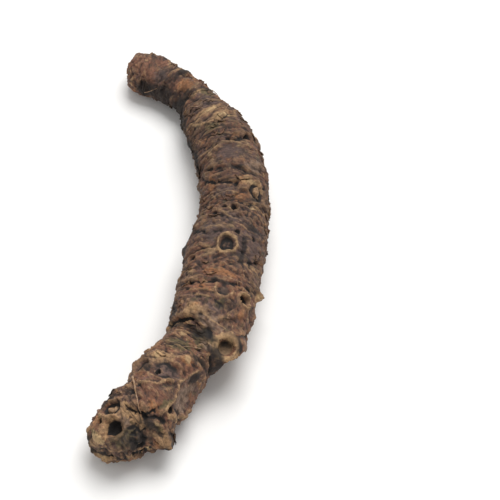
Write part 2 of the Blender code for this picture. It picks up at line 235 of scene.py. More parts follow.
LUMPS = (
    Lump(3.4, -8, 1.2, 1.4, -0.2, smooth=0.5),
    Lump(21.8, -85, 0.5, 0.8, 0.3),
    Lump(30.4, -84, 0.5, 1.0, 0.3),
    Lump(31.3, -86, 0.5, 1.0, 0.45),
    Lump(7.8, -5, 0.9, 0.8, 0.3),
    Lump(20.6, 7, 1.9, 1.9, 0.28, smooth=0.6),
    Lump(40.3, -12, 1.0, 1.1, 0.2),
    Lump(39.0, 55, 1.2, 0.8, 0.3),
    Lump(35.7, 85, 0.7, 0.8, 0.8),
    Lump(38.0, 86, 0.9, 1.0, 0.35),
    Lump(43.6, -14, 0.6, 1.1, 0.35),
    Lump(42.8, 20, 1.3, 1.6, -0.3),
    Lump(40.2, 96, 1.0, 1.1, 0.95),
    Lump(41.6, 97, 0.9, 1.1, 0.7),
    Lump(46.2, 21, 0.7, 0.6, 0.35),
    Lump(48.6, 70, 2.6, 1.5, -0.75, turn=-8, smooth=1),
    Lump(51.0, -76, 1.1, 2.3, -1.15),
    Lump(48.0, -56, 1.5, 1.3, 0.45),
    Lump(50.9, 97, 0.65, 1.7, -0.85),
    Lump(53.0, 87, 1.2, 1.4, 1.4),
    Lump(53.0, 52, 0.7, 0.7, 0.35),
    Lump(55.0, 93, 1.3, 1.4, -0.8),
    Lump(55.0, 40, 1.2, 1.4, -0.6, turn=60),
    Lump(56.0, -25, 1.8, 1.6, 0.3, smooth=0.3),
    Lump(57.5, -20, 0.7, 0.7, 0.45, smooth=0.3),
    Lump(57.5, -95, 1.4, 2.2, 0.2),
    Lump(57.6, -132, 1.1, 1.7, 0.7),
    Lump(56.9, 124, 1.5, 1.9, -0.4),
    Lump(56.8, 46, 1.0, 1.2, 0.6),
    Lump(57.6, 60, 0.3, 1.5, -0.45, turn=88),
    Lump(3.0, 180, 2.4, 1.8, 0.1, smooth=1),
    Lump(30.0, 182, 5.5, 2.4, 0.1, smooth=1),
    Lump(53.0, 187, 2.8, 2.2, 0.1, smooth=1),
)

CREASES = (
    Crease(((5.7, 10), (6.5, 21), (7.2, 45)), 0.35, 0.25, lip=0.25),
    Crease(((13.2, -52), (15.1, -31), (15.5, -16)), -0.3, 0.3),
    Crease(((18.0, -12), (18.3, 13), (17.1, 54)), 0.35, 0.28, lip=0.25),
    Crease(((19.4, -30), (18.7, -14), (18.7, 12), (19.0, 33), (19.6, 48)), -0.28, 0.3),
    Crease(((21.1, -55), (21.7, -29), (22.0, -12)), 0.35, 0.25, lip=0.2),
    Crease(((21.4, -6), (21.9, 8), (22.6, 26)), 0.4, 0.25, lip=0.25),
    Crease(((20.2, -90), (23.1, -41), (23.7, -11), (24.3, 16)), 0.25, 0.3, lip=0.25),
    Crease(((25.4, -65), (28.8, -20), (29.0, 3), (27.5, 33)), 0.25, 0.3, lip=0.2),
    Crease(((29.6, -75), (31.2, -28), (30.7, -3)), 0.3, 0.3, lip=0.3),
    Crease(((35.4, 4), (34.1, 28), (32.2, 75)), 0.2, 0.3, lip=0.25),
    Crease(((36.6, -85), (37.3, -49), (37.7, -14), (37.0, 25), (35.4, 95)), 0.3, 0.22, lip=0.2),
    Crease(((40.8, 48), (40.5, 68), (39.2, 100)), 0.35, 0.3, lip=0.3),
    Crease(((30.3, 26), (32.6, 30), (33.9, 32)), 0.25, 0.2),
    Crease(((43.4, -80), (42.0, -56), (41.4, -30), (41.0, -12), (41.2, 12)), 0.5, 0.24, lip=0.3),
    Crease(((41.0, 8), (41.5, 29), (42.4, 44), (44.1, 62), (44.4, 84), (43.6, 108)), 0.45, 0.32, lip=0.15),
    Crease(((46.6, -5), (46.2, 18), (45.4, 34)), -0.22, 0.3),
    Crease(((51.2, -34), (51.0, -4), (50.6, 11), (48.8, 31), (46.5, 49), (44.6, 58)), -0.38, 0.2),
    Crease(((48.7, 32), (49.3, 41), (50.9, 44), (52.4, 48)), -0.36, 0.2),
    Crease(((51.4, 55), (51.3, 77), (49.4, 102)), -0.35, 0.32),
    Crease(((53.2, -14), (53.4, 13), (52.8, 27), (51.5, 40)), 0.3, 0.28, lip=0.3),
    Crease(((53.5, 26), (52.5, 43), (52.0, 64)), 0.45, 0.28),
    Crease(((53.0, 44), (53.0, 68), (52.1, 90), (51.0, 104)), 0.45, 0.3),
    Crease(((54.3, 54), (54.6, 70), (55.0, 82)), 0.4, 0.3),
    Crease(((57.3, -84), (57.6, -97), (57.8, -193), (57.6, -293)), 0.6, 0.3),
)

SIDE_STUB = Stub(41.7, 72, 1.7, 1.65, (0.24, -0.46, 0.85), rim=0.25, depth=0.85)

# Colours of the bark, as red, green and blue of 255.
GREY_BROWN = (96, 71, 56)
RED_BROWN = (109, 71, 52)
MAUVE = (97, 71, 64)
DARK_BROWN = (52, 36, 29)
BLACK_BROWN = (20, 14, 12)
WORN_TAN = (139, 107, 77)
PALE_TAN = (167, 134, 96)
ASH = (133, 110, 84)
CORE_TAN = (158, 126, 95)
FIBRE_TAN = (168, 140, 116)
AMBER = (143, 96, 58)
MOSS = (86, 76, 52)

# Colours of the stains that lie under the streaks. The painted shade lies over them.
STAIN_COLOURS = {
    "rust": (112, 73, 55),
    "orange": (148, 99, 62),
    "tan": (163, 129, 92),
    "olive": (90, 79, 50),
    "mauve": (90, 71, 66),
    "ash": (134, 110, 92),
    "pale": (188, 158, 116),
}
SHADE_COLOUR = (20, 14, 13)

STAINS_AND_SHADE = {
    "rust": (
        ColourPatch(1.1, 4, 1.2, 1.6, 0.9),
        ColourPatch(2.6, -28, 1.1, 1.3, 0.8),
        ColourPatch(3.6, 24, 1.0, 1.1, 0.8),
        ColourPatch(6.5, -20, 1.4, 1.0, 0.7),
        ColourPatch(21.8, -24, 0.7, 1.2, 0.7),
        ColourPatch(37.6, 0, 0.35, 4.0, 0.9),
        ColourPatch(33.1, -42, 2.2, 1.6, 0.7),
        ColourPatch(38.2, -30, 0.9, 2.6),
        ColourPatch(38.0, 30, 0.6, 2.4, 0.7),
        ColourPatch(37.3, 78, 1.0, 1.0),
        ColourPatch(39.2, 56, 0.9, 0.9),
        ColourPatch(47.0, 26, 1.1, 1.5),
        ColourPatch(51.4, 14, 1.1, 2.0),
        ColourPatch(53.6, 84, 1.4, 1.2, 0.8),
        ColourPatch(56.4, -34, 0.9, 1.0),
        ColourPatch(41.4, 95, 1.0, 1.0),
        ColourPatch(56.8, -52, 1.2, 1.4, 0.8),
        ColourPatch(56.2, -70, 1.1, 1.0, 0.9),
        ColourPatch(55.6, -12, 0.5, 0.7, 0.7),
    ),
    "orange": (
        ColourPatch(7.8, -5, 0.9, 0.8),
        ColourPatch(25.5, 12, 0.8, 0.9, 0.8),
        ColourPatch(23.4, 21, 0.6, 0.8),
        ColourPatch(22.9, -44, 1.4, 0.7, 0.8),
        ColourPatch(35.9, 3, 0.5, 1.7),
        ColourPatch(38.5, -14, 0.6, 1.6, 0.7),
        ColourPatch(40.1, -12, 0.7, 0.7, 0.7),
        ColourPatch(39.3, 51, 0.6, 0.5, 0.9),
        ColourPatch(53.4, 78, 0.9, 0.9, 0.8),
        ColourPatch(51.9, 29, 0.7, 0.9, 0.8),
        ColourPatch(46.2, 22, 0.5, 0.5),
        ColourPatch(56.6, -48, 0.7, 0.8, 0.8),
        ColourPatch(49.0, 22, 0.5, 0.8, 0.6),
    ),
    "tan": (
        ColourPatch(10.0, 8, 0.9, 0.9, 0.8),
        ColourPatch(13.4, -6, 0.7, 1.6, 0.9),
        ColourPatch(15.0, 9, 0.7, 1.5, 0.9),
        ColourPatch(14.3, 24, 0.5, 0.9, 0.7),
        ColourPatch(24.6, 41, 0.8, 0.5, 0.9),
        ColourPatch(23.5, 30, 0.7, 1.4),
        ColourPatch(25.4, 35, 0.7, 0.4),
        ColourPatch(40.6, -14, 0.9, 0.5),
        ColourPatch(43.6, -12, 0.4, 0.5),
        ColourPatch(47.2, -12, 1.2, 1.7, 0.8),
        ColourPatch(47.3, -27, 0.8, 0.8, 0.9),
        ColourPatch(53.9, 16, 0.9, 2.2),
        ColourPatch(56.5, -4, 1.1, 1.2, 0.85),
        ColourPatch(55.4, -14, 0.8, 0.9, 0.9),
        ColourPatch(54.0, -2, 0.5, 1.2, 0.8),
        ColourPatch(54.6, 90, 0.4, 0.4),
        ColourPatch(57.7, 170, 0.6, 1.4, 0.9),
        ColourPatch(51.6, 58, 0.3, 0.8, 0.8),
        ColourPatch(24.1, 50, 0.4, 0.8, 0.8),
        ColourPatch(26.4, 40, 0.4, 1.0, 0.8),
        ColourPatch(57.7, -50, 0.5, 0.9, 0.7),
        ColourPatch(53.1, 76, 0.9, 1.2, 0.9),
        ColourPatch(57.5, -14, 0.6, 0.6),
        ColourPatch(57.5, -120, 0.7, 2.2),
        ColourPatch(36.1, 84, 0.6, 0.6),
        ColourPatch(52.9, 55, 0.5, 0.5, 0.8),
        ColourPatch(38.0, 40, 0.5, 0.6, 0.7),
    ),
    "olive": (
        ColourPatch(10.4, 18, 0.8, 0.8),
        ColourPatch(44.9, -8, 0.7, 1.6),
        ColourPatch(51.2, 40, 0.8, 0.5),
        ColourPatch(39.3, 18, 0.9, 0.8, 0.8),
        ColourPatch(16.0, -20, 0.7, 1.0, 0.8),
        ColourPatch(52.8, 58, 0.5, 0.6),
        ColourPatch(57.6, -100, 0.7, 1.0, 0.8),
        ColourPatch(56.0, 36, 1.2, 1.2, 0.9),
        ColourPatch(42.6, 28, 1.0, 1.6, 0.9),
        ColourPatch(55.4, 40, 1.4, 1.4, 0.7),
        ColourPatch(57.4, -36, 0.5, 0.8, 0.7),
    ),
    "mauve": (
        ColourPatch(11.6, 2, 1.4, 1.5),
        ColourPatch(4.6, -22, 0.9, 1.2, 0.9),
        ColourPatch(28.8, 10, 0.9, 2.4, 0.8),
        ColourPatch(30.6, 52, 2.4, 1.2, 0.8),
        ColourPatch(19.9, -2, 1.2, 1.4, 0.9),
        ColourPatch(24.8, -20, 0.9, 1.1),
        ColourPatch(31.0, -22, 1.2, 1.6),
        ColourPatch(31.9, 34, 2.6, 1.7),
        ColourPatch(48.6, 6, 1.1, 1.6),
        ColourPatch(39.8, 12, 0.8, 1.3, 0.7),
    ),
    "ash": (
        ColourPatch(49.1, 69, 2.2, 1.3),
        ColourPatch(38.1, 15, 0.7, 0.6, 0.7),
        ColourPatch(40.6, 22, 1.2, 1.8, 0.7),
        ColourPatch(43.0, 40, 0.6, 1.0, 0.7),
        ColourPatch(21.6, 40, 1.4, 1.2, 0.7),
        ColourPatch(54.9, 8, 0.8, 1.0, 0.7),
    ),
    # Pale bark, with painted highlight on the tops of knobs, rims and the lip of the crown.
    "pale": (
        ColourPatch(57.5, -14, 0.5, 0.7),
        ColourPatch(57.7, 170, 0.4, 0.9, 0.8),
        ColourPatch(54.6, 90, 0.35, 0.4),
        ColourPatch(36.0, 84, 0.4, 0.5, 0.9),
        ColourPatch(23.5, 30, 0.3, 0.7, 0.8),
        ColourPatch(24.5, 43, 0.5, 0.3, 0.9),
        ColourPatch(26.6, 34, 0.3, 0.5, 0.8),
        ColourPatch(52.9, 55, 0.35, 0.35, 0.8),
        ColourPatch(46.2, 23, 0.4, 0.4, 0.8),
        ColourPatch(47.3, -28, 0.5, 0.5, 0.7),
        ColourPatch(13.3, -8, 0.3, 1.2, 0.8),
        ColourPatch(15.0, 11, 0.35, 1.1, 0.8),
        ColourPatch(43.6, -11, 0.3, 0.4, 0.8),
        ColourPatch(41.0, 64, 0.5, 0.5, 0.8),
        ColourPatch(56.0, -38, 0.4, 0.4, 0.7),
    ),
    # Painted shade: near-black patches where shade falls, under the hook beside the neighbouring root,
    # down the left flank, in hollows, in the tops of pits and in the groove round the crown.
    "shade": (
        ColourPatch(6.2, 22, 0.5, 1.4),
        ColourPatch(3.2, -84, 1.4, 1.6),
        ColourPatch(5.8, -86, 1.8, 2.1),
        ColourPatch(8.4, -92, 1.8, 2.1),
        ColourPatch(11.2, -95, 1.9, 1.7),
        ColourPatch(14.6, -94, 2.2, 1.4, 0.8),
        ColourPatch(25.7, 33, 0.25, 0.7, 0.9),
        ColourPatch(4.6, -10, 0.7, 0.7, 0.6),
        ColourPatch(9.3, 28, 0.6, 1.2, 0.7),
        ColourPatch(21.8, 7, 0.3, 1.2, 0.8),
        ColourPatch(29.4, 42, 1.0, 1.3, 0.7),
        ColourPatch(39.1, 27, 0.8, 1.0, 0.6),
        ColourPatch(37.2, 8, 0.25, 1.9, 0.8),
        ColourPatch(32.3, 30, 2.0, 0.25, 0.8),
        ColourPatch(42.0, 20, 0.6, 2.0, 0.8),
        ColourPatch(46.6, 60, 0.9, 0.8),
        ColourPatch(49.4, -26, 0.8, 0.9, 0.7),
        ColourPatch(56.1, 38, 1.3, 1.6, 0.6),
        ColourPatch(53.3, 47, 0.7, 1.1, 0.9),
        ColourPatch(54.6, 60, 0.7, 0.9),
        ColourPatch(57.65, -100, 0.35, 1.2),
        ColourPatch(57.8, -193, 0.4, 1.6),
        ColourPatch(56.9, 100, 0.8, 1.0, 0.9),
        ColourPatch(43.6, 88, 0.8, 1.6, 0.9),
        ColourPatch(40.6, -62, 1.4, 1.0, 0.8),
        ColourPatch(31.0, -78, 5.0, 1.0, 0.7),
        ColourPatch(18.0, -82, 4.0, 1.0, 0.7),
        ColourPatch(53.4, -60, 2.2, 0.9, 0.8),
        ColourPatch(43.2, 62, 0.8, 1.2, 0.9),
        ColourPatch(52.4, 100, 3.0, 1.2, 0.8),
        ColourPatch(55.4, 60, 0.9, 1.0, 0.9),
    ),
}

# Painted shade: how bright the colours are at places along the root, darker from near the thin end to the
# middle, which the lamp lights more strongly.
SHADED_AT = (0, 8, 14, 24, 32, 37, 44, 58)
SHADED_BY = (0.93, 0.79, 0.74, 0.71, 0.73, 0.9, 0.94, 0.93)

FLOOR_WHITE = (241, 240, 238)
KEY_FROM = (0.11, 0.2, 0.55)
KEY_SIZE = 0.42
KEY_WATTS = 3.4
SKY = 0.56
FLOOR_REACH = 2.0

ELEVATION = 55
DISTANCE = 330
LENS = 225.7


def unit(vectors):
    return vectors / np.linalg.norm(vectors, axis=-1, keepdims=True)


def bell(distance):
    return np.exp(-(distance**2))


def ease(value):
    """Rises smoothly from 0 to 1 as the value does."""
    value = np.clip(value, 0, 1)
    return value**2 * (3 - 2 * value)


def smooth_line(rows, count):
    """A smooth curve through the rows, and the distance along it in its first columns."""
    rows = np.array(rows, float)
    steps = np.linalg.norm(np.diff(rows[:, :3], axis=0), axis=1)
    knots = np.concatenate([[0], np.cumsum(steps)])
    slopes = np.gradient(rows, knots, axis=0)
    at = np.linspace(0, knots[-1], count)
    span = np.clip(np.searchsorted(knots, at, side="right") - 1, 0, len(rows) - 2)
    width = (knots[span + 1] - knots[span])[:, None]
    t = (at - knots[span])[:, None] / width
    points = (
        rows[span] * (1 + 2 * t) * (1 - t) ** 2
        + rows[span + 1] * t**2 * (3 - 2 * t)
        + slopes[span] * width * t * (1 - t) ** 2
        - slopes[span + 1] * width * t**2 * (1 - t)
    )
    run = np.linalg.norm(np.diff(points[:, :3], axis=0), axis=1)
    return points, np.concatenate([[0], np.cumsum(run)])


PATH, RUN = smooth_line(AXIS, count=1500)
LENGTH = RUN[-1]
AHEAD = unit(np.gradient(PATH[:, :3], RUN, axis=0))
BESIDE = unit(np.cross((0.0, 0.0, 1.0), AHEAD))
ABOVE = np.cross(AHEAD, BESIDE)


def on_path(table, along):
    return np.stack([np.interp(along, RUN, column) for column in table.T], -1)


def radius_at(along):
    """The radius of the plain skin, rounded off at both ends."""
    from_thin = np.clip(1 - along / THIN_CAP, 0, 1)
    from_crown = np.clip(1 - (LENGTH - along) / CROWN_CAP, 0, 1)
    rounding = 1 - from_thin**CAP_SQUARENESS - from_crown**CAP_SQUARENESS
    return np.interp(along, RUN, PATH[:, 3]) * np.clip(rounding, 0, 1) ** (1 / CAP_SQUARENESS)


def noise_table(seed, size=256):
    random = np.random.default_rng(seed)
    return random.permutation(size), unit(random.normal(size=(size, 3))), random.random(size)


ORDER, SLOPES, DRAWS = noise_table(seed=11)


def hashed(*numbers):
    """A fixed random place in the noise table for these whole numbers."""
    key = 0
    for number in numbers:
        key = ORDER[(key + number) % len(ORDER)]
    return key


def grain(points, period, channel=0):
    """Smooth noise of about -1 to 1 with its lumps a period apart."""
    points = points / period + 17.3 * channel
    cell = np.floor(points).astype(int)
    local = points - cell
    fade = local**3 * (local * (local * 6 - 15) + 10)
    total = np.zeros(points.shape[:-1])
    for corner in itertools.product((0, 1), repeat=3):
        x, y, z = np.moveaxis(cell + corner, -1, 0)
        weight = np.prod(np.where(corner, fade, 1 - fade), axis=-1)
        total += weight * np.sum(SLOPES[hashed(x, y, z)] * (local - corner), axis=-1)
    return 1.6 * total


def skin(along, around):
    """Places on the round skin with only its broad swellings."""
    turn = np.radians(around)[..., None]
    out = np.cos(turn) * on_path(ABOVE, along) + np.sin(turn) * on_path(BESIDE, along)
    place = on_path(PATH[:, :3], along) + radius_at(along)[..., None] * out
    swelling = SWELLING * (grain(place, 6.5, channel=1) + 0.6 * grain(place, 2.8, channel=2))
    return place + out * swelling[..., None]


def frame_on_skin(along, around, step=0.05):
    """The ways ahead, aside and out of the skin at each place on it."""
    along = np.clip(along, 2 * step, LENGTH - 2 * step)
    turn = np.degrees(step / np.maximum(radius_at(along), 0.5))
    ahead = unit(skin(along + step, around) - skin(along - step, around))
    out = unit(np.cross(ahead, skin(along, around + turn) - skin(along, around - turn)))
    return ahead, np.cross(out, ahead), out


def plates(along, around, place, rows, columns, channel=0):
    """Wrinkled plates laid across the root, each with a drop at the edge nearer the crown.

    The first result is the rise of the plates, about 0 to 1. The second is 1 in the gaps.
    """
    row = along / LENGTH * rows + 0.9 * grain(place, 4.5, channel + 3)
    row += 0.35 * grain(place, 1.7, channel + 4)
    column = around / 360 * columns + 0.7 * grain(place, 5, channel + 5)
    nearest = np.full(along.shape, 9.0)
    second = nearest.copy()
    rise = np.zeros(along.shape)
    for step_row, step_column in itertools.product((-1, 0, 1), repeat=2):
        cell_row = np.floor(row).astype(int) + step_row
        cell_column = np.floor(column).astype(int) + step_column
        key = hashed(cell_row, cell_column % columns, channel)
        off_row = row - cell_row - 0.5 - 0.7 * (DRAWS[key] - 0.5)
        off_column = column - cell_column - 0.5 - 0.8 * (DRAWS[ORDER[key]] - 0.5)
        distance = np.hypot(off_row, off_column)
        closer = distance < nearest
        second = np.where(closer, nearest, np.minimum(second, distance))
        nearest = np.where(closer, distance, nearest)
        level = DRAWS[hashed(key, channel)]
        rise = np.where(closer, 0.55 * level + 0.6 * (off_row + 0.4), rise)
    return rise, 1 - ease((second - nearest) / 0.3)


def laid_round(along, around):
    """The skin unrolled into the ways along and round it, with no seam."""
    turn = np.radians(around)
    girth = np.stack([np.cos(turn), np.sin(turn)], -1) * radius_at(along)[:, None]
    return np.concatenate([along[:, None], girth], axis=-1)


def wrinkles(along, around, place, length, width, channel):
    """Round folds across the root with sharp creases between them, about 0 to 1."""
    drift = along + 0.57 * length * grain(place, 3.2, channel - 1)
    drift += 1.3 * grain(place, 9, channel + 1)
    stretched = laid_round(along, around) / (length, width, width)
    stretched[:, 0] = drift / length
    return np.abs(grain(stretched, 1, channel)) ** 0.8


def oval(place, mark):
    """How far each place is from the middle of the mark, in parts of its half size."""
    spot = np.array(mark.along), np.array(mark.around)
    ahead, aside, out = frame_on_skin(*spot)
    offset = place - skin(*spot)
    cosine, sine = np.cos(np.radians(mark.turn)), np.sin(np.radians(mark.turn))
    forward = offset @ (cosine * ahead + sine * aside) / mark.length
    sideways = offset @ (cosine * aside - sine * ahead) / mark.width
    far_side = offset @ out < -0.6 * max(mark.length, mark.width) - 1
    return np.where(far_side, 9.0, np.hypot(forward, sideways))


def crease_rise(place, along, crease):
    """The rise beside the crease, and 1 in its middle. Its lip is nearer the thin end."""
    corners = np.array(crease.points, float)
    steps = np.linspace(0, len(corners) - 1, 24 * len(corners))
    line_along, line_around = (np.interp(steps, range(len(corners)), line) for line in corners.T)
    line = skin(line_along, line_around)
    rise = np.zeros(along.shape)
    middle = np.zeros(along.shape)
    near = (along > line_along.min() - 4) & (along < line_along.max() + 4)
    distance = np.linalg.norm(place[near, None] - line, axis=-1)
    closest = distance.argmin(axis=1)
    distance = distance.min(axis=1)
    behind = distance * np.sign(line_along[closest] - along[near])
    part = closest / (len(line) - 1)
    ends = ease(6 * part) * ease(6 - 6 * part)
    lip = crease.lip * ease(behind / crease.width) * np.exp(-np.maximum(behind, 0) / 1.1)
    middle[near] = ends * bell(distance / crease.width)
    rise[near] = ends * lip - crease.depth * middle[near]
    return rise, middle


def push_out_stub(place, stub):
    """The places moved up to the face of the stub where they lie under it.

    The other results are 1 on its rim, in its pit, in the upper half of the pit and all over
    its face.
    """
    towards = unit(np.array(stub.towards))
    offset = place - skin(np.array(stub.along), np.array(stub.around))
    height = offset @ towards
    q = np.linalg.norm(offset - height[:, None] * towards, axis=-1) / stub.radius
    rim = bell((q - 0.72) / 0.24)
    pit = bell((q / 0.46) ** 4)
    face = stub.height + stub.rim * rim - stub.depth * pit
    near = height > -2.5
    cover = ease((1.75 - q) / 0.75) * near
    moved = place + (cover * np.maximum(face - height, 0))[:, None] * towards
    upper = ease(0.45 + (offset @ unit(np.cross((1.0, 0.0, 0.0), -towards))) / stub.radius)
    return moved, rim * near, pit * near, pit * near * upper, ease((1.15 - q) / 0.3) * near


def hidden_scars():
    """Scars on the underside, drawn at random but kept apart."""
    random = np.random.default_rng(HIDDEN_SEED)
    found = []
    while len(found) < HIDDEN_SCARS:
        along = random.uniform(5, LENGTH - 5)
        around = random.uniform(HIDDEN_FROM, 360 - HIDDEN_FROM)
        if all(abs(along - scar.along) > 2.4 or abs(around - scar.around) > 60 for scar in found):
            size = random.uniform(0.55, 1.05)
            core = random.choice((0, 0.4))
            found.append(Scar(along, around, size, 0.85 * size, 0.3 * size, 0.6 * size, core))
    return found


def thin_lines(along, around, place, length, width, thin, channel):
    """Thin broken lines that run across the root, 1 in their middle."""
    stretched = laid_round(along, around) / (length, width, width)
    stretched[:, 0] += 0.5 * grain(place, 2.2, channel + 1)
    unbroken = ease(0.5 + 1.6 * grain(stretched, 1.9, channel + 2))
    return bell(grain(stretched, 1, channel) / thin) * unbroken


def soften(field, reach_mm):
    """The field blurred over the rings and sides by about this reach."""
    cells = max(1, round(reach_mm * CELLS_PER_MM))
    rings = field[:-2].reshape(RINGS, SIDES)
    for _ in range(2):
        padded = np.pad(rings, ((cells, cells), (0, 0)), mode="edge")
        rings = sum(padded[n : n + RINGS] for n in range(2 * cells + 1)) / (2 * cells + 1)
        rings = sum(np.roll(rings, n, axis=1) for n in range(-cells, cells + 1)) / (2 * cells + 1)
    return np.concatenate([rings.ravel(), [rings[0].mean(), rings[-1].mean()]])


def roughness(along, around, place, wobbled):
    """The rise of the plates, folds and knobs, and the masks of knobs, cracks and crests."""
    strength = np.interp(along, WRINKLED_AT, WRINKLED_BY)
    level, gap = plates(along, around, place, PLATE_ROWS, PLATE_COLUMNS)
    folds = wrinkles(along, around, place, WRINKLE_LENGTH, WRINKLE_WIDTH, channel=13)
    rough = PLATE_RISE * (level - 0.6 * gap) + WRINKLE_RISE * strength * folds
    level, gap = plates(along, around, wobbled, FINE_ROWS, FINE_COLUMNS, channel=40)
    folds = wrinkles(along, around, wobbled, FOLD_LENGTH, FOLD_WIDTH, channel=45)
    fine = FINE_PLATE_RISE * (level - 0.6 * gap - 0.4) + FOLD_RISE * (folds - 0.3)
    crack = thin_lines(along, around, wobbled, 1.1, 3.4, 0.12, channel=60)
    crack = np.maximum(crack, 0.7 * thin_lines(along, around, wobbled, 0.7, 1.6, 0.12, channel=64))
    crest = thin_lines(along, around, wobbled, 0.8, 3.6, 0.15, channel=70)
    crest = np.maximum(crest, 0.7 * thin_lines(along, around, wobbled, 0.55, 1.8, 0.15, channel=74))
    fine += CREST_RISE * crest - CRACK_DEPTH * crack
    rough += (0.35 + 0.65 * strength) * fine
    rough = rough * ease(radius_at(along) / 2.5) + PEBBLE_RISE * grain(place, 1.0, channel=9)
    knobbed = np.interp(along, KNOBBED_AT, KNOBBED_BY)
    rough += KNOB_RISE * knobbed * (np.abs(grain(wobbled, 1.3, channel=80)) - 0.3)
    tip = TIP_KNOBBED * bell(along / TIP_REACH)
    fine_knobs = np.abs(grain(wobbled, 0.6, channel=81)) - 0.3
    rough += FINE_KNOB_RISE * (np.minimum(knobbed, 0.6) + tip) * fine_knobs
    return rough, {"knobbed": ease(knobbed + tip), "crack": crack, "crest": crest}


def lumps_at(wobbled):
    """The rise of the lumps, the share of the roughness left on them, and 1 where they are smooth."""
    rise, smooth = np.zeros(len(wobbled)), np.zeros(len(wobbled))
    left = np.ones(len(wobbled))
    for lump in LUMPS:
        cover = bell(oval(wobbled, lump))
        even = lump.smooth * np.minimum(1, 1.6 * cover)
        left *= 1 - even
        smooth = np.maximum(smooth, even)
        rise += lump.height * cover
    return rise, left, smooth


def scars_at(place, wobbled):
    """The rise of the scars, the share of the roughness left, 1 where smooth, and the masks."""
    rise, smooth, rim, pit, core = (np.zeros(len(wobbled)) for _ in range(5))
    left = np.ones(len(wobbled))
    broken = 0.9 + 0.35 * grain(place, 0.8, channel=85)
    lumpy = 1 + 0.9 * grain(place, 0.45, channel=86)
    for scar in (*SCARS, *hidden_scars()):
        q = oval(wobbled, scar)
        even = bell(q / 1.1)
        left *= 1 - 0.8 * even
        smooth = np.maximum(smooth, even)
        hollow = bell((q / 0.75) ** 3)
        middle = bell((q / 0.5) ** 2.5)
        rise += scar.rim * broken * bell((q - 1) / 0.17) - scar.depth * hollow
        rise += scar.core * lumpy * middle
        rim = np.maximum(rim, scar.pale * bell((q - 0.98) / 0.13))
        pit = np.maximum(pit, scar.dark * hollow)
        core = np.maximum(core, scar.light * min(1, 3 * scar.core) * middle)
    return rise, left, smooth, {"rim": rim, "pit": pit, "core": core}


def creases_at(wobbled, along):
    """The rise of the creases and ridges, and the masks of both."""
    rise, crevice, ridge = (np.zeros(len(wobbled)) for _ in range(3))
    for crease in CREASES:
        change, middle = crease_rise(wobbled, along, crease)
        rise += change
        if crease.depth > 0:
            crevice = np.maximum(crevice, min(1, 1.4 * crease.depth) * middle)
        else:
            ridge = np.maximum(ridge, min(1, -3 * crease.depth) * middle)
    return rise, {"crevice": crevice, "ridge": ridge}


def surface(along, around):
    """Places on the finished root in mm, the way out there, and the masks that its colours need."""
    place = skin(along, around)
    out = frame_on_skin(along, around)[2]
    wobble = np.stack([grain(place, 1.5, channel) for channel in (20, 21, 22)], -1)
    tear = RAGGED * np.stack([grain(place, 0.45, channel) for channel in (30, 31, 32)], -1)
    wobbled = place + WOBBLE * wobble + tear
    rough, rough_masks = roughness(along, around, place, wobbled)
    lump_rise, left_on_lumps, smooth_lumps = lumps_at(wobbled)
    steadier = place + SCAR_WOBBLE * wobble + tear
    scar_rise, left_by_scars, smooth_scars, scar_masks = scars_at(place, steadier)
    crease_change, crease_masks = creases_at(wobbled, along)
    grains = GRAIN_RISE * (grain(place, 0.36, channel=50) + 0.5 * grain(place, 0.21, channel=51))
    lift = lump_rise + scar_rise + crease_change + grains
    lift += rough * left_on_lumps * left_by_scars
    raised = place + out * lift[:, None]
    place, stub_rim, stub_pit, stub_shade, on_stub = push_out_stub(raised, SIDE_STUB)
    masks = rough_masks | scar_masks | crease_masks
    masks["calm"] = np.maximum.reduce([smooth_lumps, smooth_scars, on_stub])
    masks["lift"] = lift * (1 - on_stub)
    # Painted shade: the colours are darkened from near the thin end to the middle.
    masks["shade_along_root"] = np.interp(along, SHADED_AT, SHADED_BY)
    masks["rim"] = np.maximum(masks["rim"], stub_rim)
    # Painted shadow: the upper half of the stub's pit, shaded by its wall, is darkened with the pits.
    masks["pit"] = np.maximum(masks["pit"], stub_shade)
    masks["stub_pit"] = stub_pit
    masks["crevice"] *= 1 - on_stub
    masks["crack"] *= 1 - masks["calm"]
    masks["crest"] *= 1 - masks["calm"]
    # The shade patches are painted shade; the others are stains.
    for name, stains in STAINS_AND_SHADE.items():
        cover = [stain.amount * bell(oval(wobbled, stain)) for stain in stains]
        masks[name] = np.max(cover, axis=0)
    return place, out, masks


def skin_grid(rings, sides):
    """Along and around for each vertex, evenly spaced over the skin."""
    fine = LENGTH * (1 - np.cos(np.linspace(0, np.pi, 4000))) / 2
    profile = np.hypot(np.diff(fine), np.diff(radius_at(fine)))
    travel = np.concatenate([[0], np.cumsum(profile)])
    along = np.interp(np.linspace(0, travel[-1], rings + 2), travel, fine)
    around = np.arange(sides) * 360 / sides
    along = np.concatenate([np.repeat(along[1:-1], sides), [0, LENGTH]])
    return along, np.concatenate([np.tile(around, rings), [0, 0]])


def ring_faces(count, sides):
    """Faces between rings that hold so many points in all, and a fan to a point at each end."""
    lower = np.arange(count - sides).reshape(-1, sides)
    beside = np.roll(lower, -1, axis=1)
    quads = np.stack([lower, lower + sides, beside + sides, beside], -1).reshape(-1, 4)
    first = np.arange(sides)
    last = first + count - sides
    first_fan = [(count, a, b) for a, b in zip(first, np.roll(first, -1))]
    last_fan = [(count + 1, b, a) for a, b in zip(last, np.roll(last, -1))]
    return quads.tolist() + first_fan + last_fan


def piece(name, points, faces, finish):
    """A smooth mesh object from points in metres."""
    mesh = bpy.data.meshes.new(name)
    mesh.from_pydata(points.tolist(), [], faces)
    mesh.validate()
    mesh.shade_smooth()
    mesh.materials.append(finish)
    made = bpy.data.objects.new(name, mesh)
    bpy.context.collection.objects.link(made)
    return made


